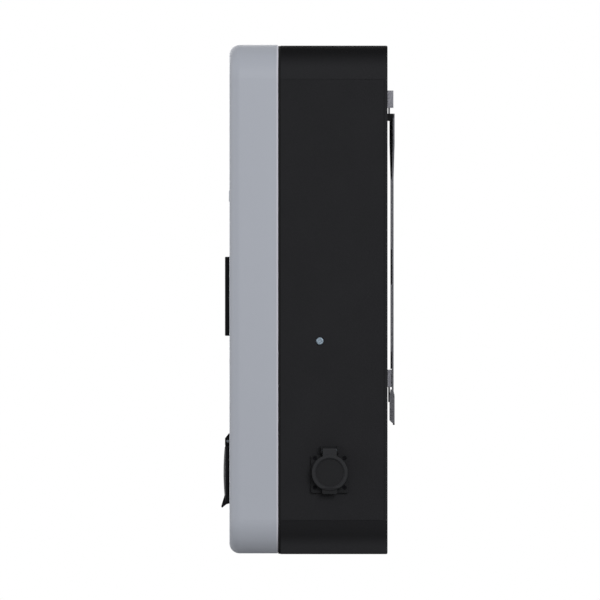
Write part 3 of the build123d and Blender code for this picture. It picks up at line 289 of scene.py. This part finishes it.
def painted(name, colour, roughness):
    """Satin paint with a faint orange peel, fine specks of flake and a painted highlight along
    its rear edge.
    """
    finish = Finish(name, Specular_IOR_Level=0.32)
    # Painted highlight: a lighter colour along the rounded rear edge, in place of the light that
    # this edge catches
    rim_highlight = finish.along(1).smooth(RIM_Y - 0.25 * MM, RIM_Y + 0.15 * MM)
    cloud = finish.noise(60 * MM, detail=3)
    flake = finish.noise(0.35 * MM, detail=1)
    share = (cloud - 0.5) * 0.3 + (flake - 0.5) * 0.4 + 0.5
    peel = finish.noise(1.6 * MM, detail=2)
    paint = finish.blend(share, tone(colour, 0.95), tone(colour, 1.05))
    return finish.set(
        Base_Color=finish.blend(rim_highlight, paint, RIM_HIGHLIGHT_COLOUR),
        Roughness=roughness + (flake - 0.5) * 0.10,
        Normal=finish.raised(peel, 0.010 * MM, on=finish.soft_edges(0.35 * MM)),
    )


def grained(name, colour, roughness, grain, depth, specular):
    """Moulded plastic with a spark-eroded grain and slightly rounded edges."""
    finish = Finish(name, Specular_IOR_Level=specular)
    pits = finish.cells(grain)
    cloud = finish.noise(35 * MM, detail=3)
    fine = finish.noise(grain * 0.6, detail=2)
    share = (cloud - 0.5) * 0.6 + pits * 0.5 + 0.2
    return finish.set(
        Base_Color=finish.blend(share, tone(colour, 0.86), tone(colour, 1.16)),
        Roughness=roughness + (fine - 0.5) * 0.14,
        Normal=finish.raised(pits + fine * 0.6, depth, on=finish.soft_edges(0.3 * MM)),
    )


def banded(name, colour):
    """Grained plastic on the flat of the sides, and smoother round the top and bottom.

    Round the top and bottom the colour holds painted shade and light: it fades to a deeper black
    on the upper corners as painted shade, and to a greyer one underneath as painted light. The
    flat top, which faces straight up, has the plain black again.
    """
    finish = grained(name, colour, 0.80, 0.7 * MM, 0.090 * MM, 0.015)
    grain = Wire(finish, finish.shader.inputs["Base Color"].links[0].from_socket)
    rise = finish.along(2) - HOUSING_MIDDLE
    band = abs(rise).smooth(BAND_START - 0.2 * MM, BAND_START + 0.2 * MM)
    facing = finish.add("ShaderNodeNewGeometry", output=1)
    flat = finish.add("ShaderNodeSeparateXYZ", None, facing, output=2).smooth(0.965, 0.999)
    # Painted shade and light: the band darkens towards the upper corners, less so on the flat
    # top, and turns greyer towards the underside
    over = rise.smooth(BAND_START + 9 * MM, BAND_START + 30 * MM) * (1 - flat * 0.85)
    under = (-rise).smooth(BAND_START + 12 * MM, BAND_START + 30 * MM)
    above = finish.blend(over, tone(colour, 1.06), tone(colour, 0.22))
    below = finish.blend(under, tone(colour, 0.72), tone(colour, 2.20))
    band_painted_shading = finish.blend(rise.smooth(-BAND_START, BAND_START), below, above)
    finish.set(
        Base_Color=finish.blend(band, grain, band_painted_shading),
        Roughness=0.80 - band * 0.12,
    )
    return finish


def highlighted_plastic(name, colour, highlight_colour):
    """Smooth plastic with a painted highlight: lighter where it stands out furthest, but not on
    its lower tab.
    """
    finish = Finish(name, Specular_IOR_Level=0.05)
    front = finish.along(0).smooth(CAP_FRONT_X - 0.3 * MM, CAP_FRONT_X + 0.3 * MM)
    # Painted highlight on the faces that stand out furthest; the recess and the lower tab keep
    # the plain darker colour
    highlight_share = front * finish.along(2).smooth(CAP_TAB_Z - 0.4 * MM, CAP_TAB_Z + 0.4 * MM)
    cloud = finish.noise(7 * MM, detail=3)
    fine = finish.noise(0.4 * MM, detail=2)
    return finish.set(
        Base_Color=finish.blend(highlight_share * (0.7 + cloud * 0.6), colour, highlight_colour),
        Roughness=0.60 - highlight_share * 0.08 + (fine - 0.5) * 0.12,
        Normal=finish.raised(fine, 0.008 * MM, on=finish.soft_edges(0.4 * MM)),
    )


def rubbery(name, colour):
    """Matt rubber with a powdery bloom."""
    finish = Finish(name, Specular_IOR_Level=0.1)
    bloom = finish.noise(9 * MM, detail=4)
    grit = finish.noise(0.5 * MM, detail=1)
    return finish.set(
        Base_Color=finish.blend(bloom, tone(colour, 0.8), tone(colour, 1.5)),
        Roughness=0.72 + (bloom - 0.5) * 0.16,
        Normal=finish.raised(grit, 0.02 * MM, on=finish.soft_edges(0.3 * MM)),
    )


def rolled(name, colour, roughness):
    """Zinc-plated sheet steel: spangled crystals over a rolling grain that runs one way."""
    finish = Finish(name, Metallic=1.0)
    streak = finish.noise(4 * MM, detail=3, at=finish.stretched(1.0, 14.0, 14.0))
    cloud = finish.noise(22 * MM, detail=4)
    crystal = finish.add(
        "ShaderNodeTexVoronoi", None, Vector=finish.place(), Scale=1 / (7 * MM), output=1
    )
    spangle = finish.add("ShaderNodeSeparateColor", None, crystal, output=0)
    share = streak * 0.35 + cloud * 0.30 + spangle * 0.35
    return finish.set(
        Base_Color=finish.blend(share, tone(colour, 0.66), tone(colour, 1.34)),
        Roughness=roughness + (cloud - 0.5) * 0.18 + (spangle - 0.5) * 0.16,
        Normal=finish.raised(streak, 0.01 * MM, on=finish.soft_edges(0.25 * MM)),
    )


def turned_metal(name, colour, roughness):
    """Screws, pins and contacts: fine turning marks and a little tarnish."""
    finish = Finish(name, Metallic=1.0)
    marks = finish.noise(0.6 * MM, detail=2)
    tarnish = finish.noise(3 * MM, detail=3)
    return finish.set(
        Base_Color=finish.blend(tarnish, tone(colour, 0.86), tone(colour, 1.12)),
        Roughness=roughness + (tarnish - 0.5) * 0.14,
        Normal=finish.raised(marks, 0.008 * MM, on=finish.soft_edges(0.2 * MM)),
    )


def glossy(name, colour, roughness):
    """Smooth glass or lacquer with faint wipe marks."""
    finish = Finish(name, Specular_IOR_Level=0.25)
    wipe = finish.noise(18 * MM, detail=4)
    return finish.set(
        Base_Color=finish.blend(wipe, tone(colour, 0.9), tone(colour, 1.15)),
        Roughness=roughness + (wipe - 0.5) * 0.05,
        Normal=finish.soft_edges(0.25 * MM),
    )


def screen(name, border, area, roughness):
    """Cover glass over a dark display: a black printed border round a greyer field.

    The field's share is the product of a soft step across and one up and down.
    """
    finish = glossy(name, border, roughness)
    half_width, half_height = FIELD_SIZE[0] / 2, FIELD_SIZE[1] / 2
    across = abs(finish.along(0)).smooth(half_width + 0.15 * MM, half_width - 0.15 * MM)
    rise = abs(finish.along(2) - FIELD_MIDDLE)
    upright = rise.smooth(half_height + 0.15 * MM, half_height - 0.15 * MM)
    cloud = finish.noise(30 * MM, detail=2)
    field = across * upright * (0.75 + cloud * 0.5)
    return finish.set(Base_Color=finish.blend(field, border, area))


def frosted(name, colour):
    """A diffusing lens, cloudy inside."""
    finish = Finish(name, Specular_IOR_Level=0.5)
    cloud = finish.noise(6 * MM, detail=3)
    grit = finish.noise(0.3 * MM, detail=1)
    return finish.set(
        Base_Color=finish.blend(cloud, tone(colour, 0.93), tone(colour, 1.06)),
        Roughness=0.32 + (grit - 0.5) * 0.12,
        Normal=finish.soft_edges(0.3 * MM),
    )


def circuit(name, colour):
    """Solder mask over copper: tracks show as lighter squares and lines."""
    finish = Finish(name, Specular_IOR_Level=0.5)
    tracks = finish.cells(4.5 * MM, feature="DISTANCE_TO_EDGE").below(0.05)
    cloud = finish.noise(12 * MM, detail=2)
    return finish.set(
        Base_Color=finish.blend(tracks, colour, tone(colour, 2.2)),
        Roughness=0.32 + cloud * 0.12,
        Normal=finish.raised(tracks, 0.03 * MM),
    )


FINISHES = {
    "cover_finish": painted("cover_finish", (0.380, 0.401, 0.451), 0.46),
    "housing_plastic": banded("housing_plastic", (0.0205, 0.0207, 0.0225)),
    "black_plastic": grained(
        "black_plastic", (0.0136, 0.0140, 0.0152), 0.60, 0.5 * MM, 0.045 * MM, 0.045
    ),
    "black_rubber": rubbery("black_rubber", (0.0070, 0.0070, 0.0075)),
    "plate_steel": rolled("plate_steel", (0.070, 0.070, 0.077), 0.42),
    "hanger_steel": rolled("hanger_steel", (0.138, 0.138, 0.153), 0.45),
    "cap_plastic": highlighted_plastic(
        "cap_plastic", (0.0163, 0.0166, 0.0180), (0.0252, 0.0258, 0.0280)
    ),
    "bright_steel": turned_metal("bright_steel", (0.136, 0.170, 0.203), 0.34),
    "plated_steel": turned_metal("plated_steel", (0.40, 0.41, 0.43), 0.36),
    "black_steel": turned_metal("black_steel", (0.006, 0.006, 0.007), 0.6),
    "display_glass": screen(
        "display_glass", (0.0050, 0.0050, 0.0058), (0.0130, 0.0145, 0.0180), 0.09
    ),
    "light_lens": frosted("light_lens", (0.48, 0.53, 0.62)),
    "green_board": circuit("green_board", (0.012, 0.085, 0.040)),
    "contact_metal": turned_metal("contact_metal", (0.62, 0.60, 0.55), 0.25),
    "grey_plastic": grained(
        "grey_plastic", (0.17, 0.17, 0.18), 0.45, 0.5 * MM, 0.012 * MM, 0.35
    ),
    "orange_sleeve": rubbery("orange_sleeve", (0.42, 0.10, 0.012)),
    "can_metal": turned_metal("can_metal", (0.58, 0.59, 0.61), 0.3),
}

# Nodes given a lighter copy of their slot's plastic: painted light that lifts the socket lid out
# of the shade it sits in
LIGHTENED_FINISHES = {
    "socket_lid": grained(
        "lid_painted_light", (0.0236, 0.0240, 0.0258), 0.62, 0.5 * MM, 0.045 * MM, 0.04
    ),
}


def dress_nodes():
    """Gives every CAD node its lightened finish where one is listed, or else that of its slot."""
    for part in frame["record"]["subparts"]:
        node = frame["nodes"][part["node"]]
        finish = LIGHTENED_FINISHES.get(part["node"], FINISHES[part["material_slot"]])
        node.data.materials.clear()
        node.data.materials.append(finish.material)


def make_mesh(name, sheets, smooth=True):
    """Joins grids of points into one closed mesh.

    Each sheet is an array of rows x columns x 3. Its columns close on themselves, and its
    first and last rows are closed by a flat end each.
    """
    points, faces, start = [], [], 0
    for sheet in sheets:
        rows, columns = sheet.shape[:2]
        index = start + np.arange(rows * columns).reshape(rows, columns)
        across = np.roll(index, -1, axis=1)
        quads = np.stack([index[:-1], across[:-1], across[1:], index[1:]], axis=-1)
        faces += quads.reshape(-1, 4).tolist()
        faces += [index[0][::-1].tolist(), index[-1].tolist()]
        points.append(sheet.reshape(-1, 3))
        start += rows * columns
    mesh = bpy.data.meshes.new(name)
    mesh.from_pydata(np.concatenate(points).tolist(), [], faces)
    mesh.polygons.foreach_set("use_smooth", np.full(len(faces), smooth))
    return mesh


def add_piece(name, mesh, slot, body, *replaced):
    """Gives a mesh its finish and hangs it on a body, in place of any nodes named."""
    mesh.materials.append(FINISHES[slot].material)
    piece = bpy.data.objects.new(name, mesh)
    bpy.context.collection.objects.link(piece)
    if replaced:
        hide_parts(*replaced)
    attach(piece, body)
    return piece


def unit(vectors):
    """Vectors scaled to a length of 1."""
    return vectors / np.linalg.norm(vectors, axis=-1, keepdims=True)


def tube(path, side, radius, around=16):
    """A round bar along a path. side is any direction that the path never takes."""
    along = unit(np.gradient(path, axis=0))
    first = unit(np.cross(along, side))
    second = np.cross(along, first)
    angle = TURN * np.arange(around) / around
    ring = np.cos(angle)[:, None] * first[:, None] + np.sin(angle)[:, None] * second[:, None]
    return path[:, None] + radius * ring


def spring_path(centre, axis, out, coil_r, turns, pitch, legs):
    """A torsion spring: p = centre + axis h + r (out cos a + up sin a), with straight legs.

    The legs leave the coil along its tangent and are given by their lengths.
    """
    centre, axis, out = (np.array(v, dtype=float) for v in (centre, axis, out))
    up = np.cross(axis, out)
    angle = np.linspace(0, TURN * turns, 24 * turns + 1)[:, None]
    rise = pitch * (angle / TURN - turns / 2)
    coil = centre + axis * rise + coil_r * (out * np.cos(angle) + up * np.sin(angle))
    start = np.linspace(legs[0], 0, 12, endpoint=False)[:, None]
    end = np.linspace(0, legs[1], 13)[1:, None]
    return np.concatenate([coil[:1] - up * start, coil, coil[-1:] + up * end])


def chamfered(low, high, cut):
    """A block as a sheet of four rings of four corners, from back to front, with cut edges."""
    low, high, cut = (np.asarray(v, dtype=float) for v in (low, high, cut))
    middle, half = (low + high) / 2, (high - low) / 2
    signs = np.array([(-1, -1), (1, -1), (1, 1), (-1, 1)])
    rings = []
    for place, inset in ((1, 1), (1, 0), (-1, 0), (-1, 1)):
        step = np.where(inset, cut, 0)
        x = middle[0] + signs[:, 0] * (half[0] - step)
        z = middle[2] + signs[:, 1] * (half[2] - step)
        y = middle[1] + place * (half[1] - (0 if inset else cut))
        rings.append(np.stack([x, np.full(4, y), z], axis=-1))
    return np.stack(rings)


def add_spring(name, node, box, axis, out, side, sizes):
    """A spring wire in place of a node's solid, round the middle of its box."""
    coil_r, wire_r, turns = sizes
    low, high = map(np.array, box)
    legs = (SPRING_LEG, SPRING_LEG)
    path = spring_path((low + high) / 2, axis, out, coil_r, turns, SPRING_PITCH, legs)
    mesh = make_mesh(name, [tube(path, side, wire_r)])
    add_piece(name, mesh, "bright_steel", "enclosure", node)


def make_springs():
    """The two torsion springs, with the legs that bear on the lid and on the port."""
    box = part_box("lid_spring")
    side = (1.0, 0.02, 0.03)
    add_spring("lid_spring_wire", "lid_spring", box, (1, 0, 0), (0, 1, 0), side, LID_SPRING)
    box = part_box("data_cap_spring")
    side = (0.03, 1.0, 0.02)
    add_spring("cap_spring_wire", "data_cap_spring", box, (0, 1, 0), (1, 0, 0), side, CAP_SPRING)


def make_loom():
    """Seven insulated conductors that twist along an elbow, six of them round the seventh.

    The elbow's centre line runs back from the socket, turns upwards on a quarter circle and
    ends under the board's connector. A strand lies at (X cos a + N sin a) r from it, where N
    is the line's normal in its plane and a grows along it.
    """
    low, high = map(np.array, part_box("wiring_loom"))
    y_start, y_turn = low[1], high[1] - LOOM_RADIUS
    z_start, z_end = low[2] + LOOM_RADIUS, high[2]
    back = (y_turn - LOOM_BEND) - y_start
    rise = z_end - (z_start + LOOM_BEND)
    total = back + LOOM_BEND * np.pi / 2 + rise
    s = np.linspace(0, total, 160)
    turn = np.clip((s - back) / LOOM_BEND, 0, np.pi / 2)
    upright = np.maximum(s - back - LOOM_BEND * np.pi / 2, 0)
    y = y_start + np.minimum(s, back) + LOOM_BEND * np.sin(turn)
    z = z_start + LOOM_BEND * (1 - np.cos(turn)) + upright
    line = np.stack([np.zeros_like(s), y, z], axis=-1)
    normal = np.stack([np.zeros_like(s), -np.sin(turn), np.cos(turn)], axis=-1)
    cross = np.array([1.0, 0.0, 0.0])
    strands = []
    for number in range(STRAND_COUNT):
        offset = STRAND_OFFSET if number else 0.0
        angle = TURN * (number / (STRAND_COUNT - 1) + STRAND_TWIST * s / total)[:, None]
        path = line + offset * (cross * np.cos(angle) + normal * np.sin(angle))
        strands.append(tube(path, (1.0, 0.001, 0.0), STRAND_RADIUS))
    mesh = make_mesh("loom_strands", strands)
    add_piece("loom_strands", mesh, "orange_sleeve", "enclosure", "wiring_loom")


def make_jack_contacts():
    """Eight sprung wires that slope down and back from the roof of the data jack.

    Wire k lies at y = (k - 3.5) pitch, and falls by the squared sine of a quarter turn.
    """
    low, high = map(np.array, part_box("data_port_jack"))
    middle = (low + high) / 2
    share = np.linspace(0, 1, 24)
    x = high[0] - CONTACT_INSET - CONTACT_LENGTH * share
    z = middle[2] + CONTACT_RISE - CONTACT_FALL * np.sin(share * np.pi / 2) ** 2
    wires = []
    for number in range(CONTACT_COUNT):
        y = np.full_like(x, middle[1] + (number - (CONTACT_COUNT - 1) / 2) * CONTACT_PITCH)
        path = np.stack([x, y, z], axis=-1)
        wires.append(tube(path, (0.0, 1.0, 0.0), CONTACT_RADIUS, 10))
    add_piece("jack_contacts", make_mesh("jack_contacts", wires), "contact_metal", "enclosure")


def make_board_parts():
    """Small chips on the circuit board, wherever none of the larger parts stands."""
    low, high = map(np.array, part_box("main_board"))
    face = high[1] - BOARD_THICKNESS
    taken = [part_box(name) for name in BOARD_NODES] + LARGE_CHIPS
    random = np.random.default_rng(CHIP_SEED)
    left, right = CHIP_MARGINS_X
    below, above = CHIP_MARGINS_Z
    columns = np.arange(low[0] + left, high[0] - right, CHIP_SPACING[0])
    rows = np.arange(low[2] + below, high[2] - above, CHIP_SPACING[1])
    x, z = (grid.ravel() for grid in np.meshgrid(columns, rows))
    free = random.random(x.size) < CHIP_SHARE
    for near, far in taken:
        inside = (x > near[0] - CHIP_CLEARANCE) & (x < far[0] + CHIP_CLEARANCE)
        free &= ~(inside & (z > near[2] - CHIP_CLEARANCE) & (z < far[2] + CHIP_CLEARANCE))
    x, z = x[free], z[free]
    wide = random.choice(CHIP_HALF_WIDTHS, x.size) * MM
    tall = random.choice(CHIP_HALF_HEIGHTS, x.size) * MM
    thick = random.uniform(*CHIP_THICKNESS, x.size) * MM
    chips = [
        chamfered((a - w, face - h, b - v), (a + w, face, b + v), CHIP_CUT)
        for a, b, w, v, h in zip(x, z, wide, tall, thick)
    ]
    add_piece("board_chips", make_mesh("board_chips", chips, False), "black_plastic", "enclosure")


def floor_chalk():
    """A pale floor that turns white further out and can be looked through from below."""
    chalk = Finish("floor_chalk", Roughness=0.9, Specular_IOR_Level=0.1)
    speck = chalk.noise(0.2, detail=2)
    chalk.set(Base_Color=chalk.blend(speck, (0.84, 0.84, 0.84), (0.87, 0.87, 0.87)))
    far = chalk.add("ShaderNodeVectorMath", {"operation": "LENGTH"}, chalk.place(), output=1)
    camera_ray = chalk.add("ShaderNodeLightPath", output=0)
    white = chalk.add("ShaderNodeEmission")
    clear = chalk.add("ShaderNodeBsdfTransparent")
    below = chalk.add("ShaderNodeNewGeometry", output=6)
    bounced = chalk.add("ShaderNodeLightPath", output=2)
    lit = Wire(chalk, chalk.shader.outputs[0])
    faded = far.smooth(*FLOOR_FADE) * camera_ray
    outer = chalk.add("ShaderNodeMixShader", None, faded, lit, white)
    unseen = chalk.add("ShaderNodeMath", {"operation": "MAXIMUM"}, below, bounced)
    whole = chalk.add("ShaderNodeMixShader", None, unseen, outer, clear)
    chalk.tree.links.new(whole.socket, chalk.tree.nodes["Material Output"].inputs["Surface"])
    return chalk


def make_stage():
    """A pale floor just under the box, a white surround, four soft lamps and the camera."""
    lowest = cad_box[0].z
    signs = ((-1, -1), (1, -1), (1, 1), (-1, 1))
    mesh = bpy.data.meshes.new("floor")
    corners = [(FLOOR_REACH * x, FLOOR_REACH * y, lowest) for x, y in signs]
    mesh.from_pydata(corners, [], [(0, 1, 2, 3)])
    floor = bpy.data.objects.new("floor", mesh)
    bpy.context.collection.objects.link(floor)
    mesh.materials.append(floor_chalk().material)

    world = bpy.data.worlds.new("surround")
    bpy.context.scene.world = world
    world.use_nodes = True
    tree = world.node_tree
    rays = tree.nodes.new("ShaderNodeLightPath")
    seen = rays.outputs["Is Camera Ray"]
    for kind in ("Is Glossy Ray", "Is Transmission Ray"):
        both = tree.nodes.new("ShaderNodeMath")
        both.operation, both.use_clamp = "ADD", True
        tree.links.new(seen, both.inputs[0])
        tree.links.new(rays.outputs[kind], both.inputs[1])
        seen = both.outputs[0]
    level = tree.nodes.new("ShaderNodeMapRange")
    tree.links.new(seen, level.inputs["Value"])
    level.inputs["To Min"].default_value = WORLD_LEVEL
    level.inputs["To Max"].default_value = 1.0
    surround = tree.nodes["Background"]
    surround.inputs["Color"].default_value = (1.0, 1.0, 1.0, 1.0)
    tree.links.new(level.outputs[0], surround.inputs["Strength"])

    middle = np.array((0.0, *VIEW_CENTRE))
    for name, (offset, size, share) in LAMPS.items():
        lamp = bpy.data.lights.new(name, "AREA")
        lamp.shape, lamp.size = "DISK", size
        away = np.array(offset)
        lamp.energy = share * np.pi**2 * float(away @ away)
        holder = bpy.data.objects.new(name, lamp)
        holder.location = middle + away
        holder.rotation_mode = "QUATERNION"
        holder.rotation_quaternion = Vector(away).to_track_quat("Z", "Y")
        bpy.context.collection.objects.link(holder)

    camera = bpy.data.cameras.new("camera")
    camera.type, camera.ortho_scale = "ORTHO", VIEW_HEIGHT
    holder = bpy.data.objects.new("camera", camera)
    holder.location = middle + (VIEW_DISTANCE, 0, 0)
    holder.rotation_euler = (np.pi / 2, 0, np.pi / 2)
    bpy.context.collection.objects.link(holder)
    bpy.context.scene.camera = holder
    bpy.context.scene.view_settings.view_transform = "Standard"


dress_nodes()
make_springs()
make_loom()
make_jack_contacts()
make_board_parts()
make_stage()
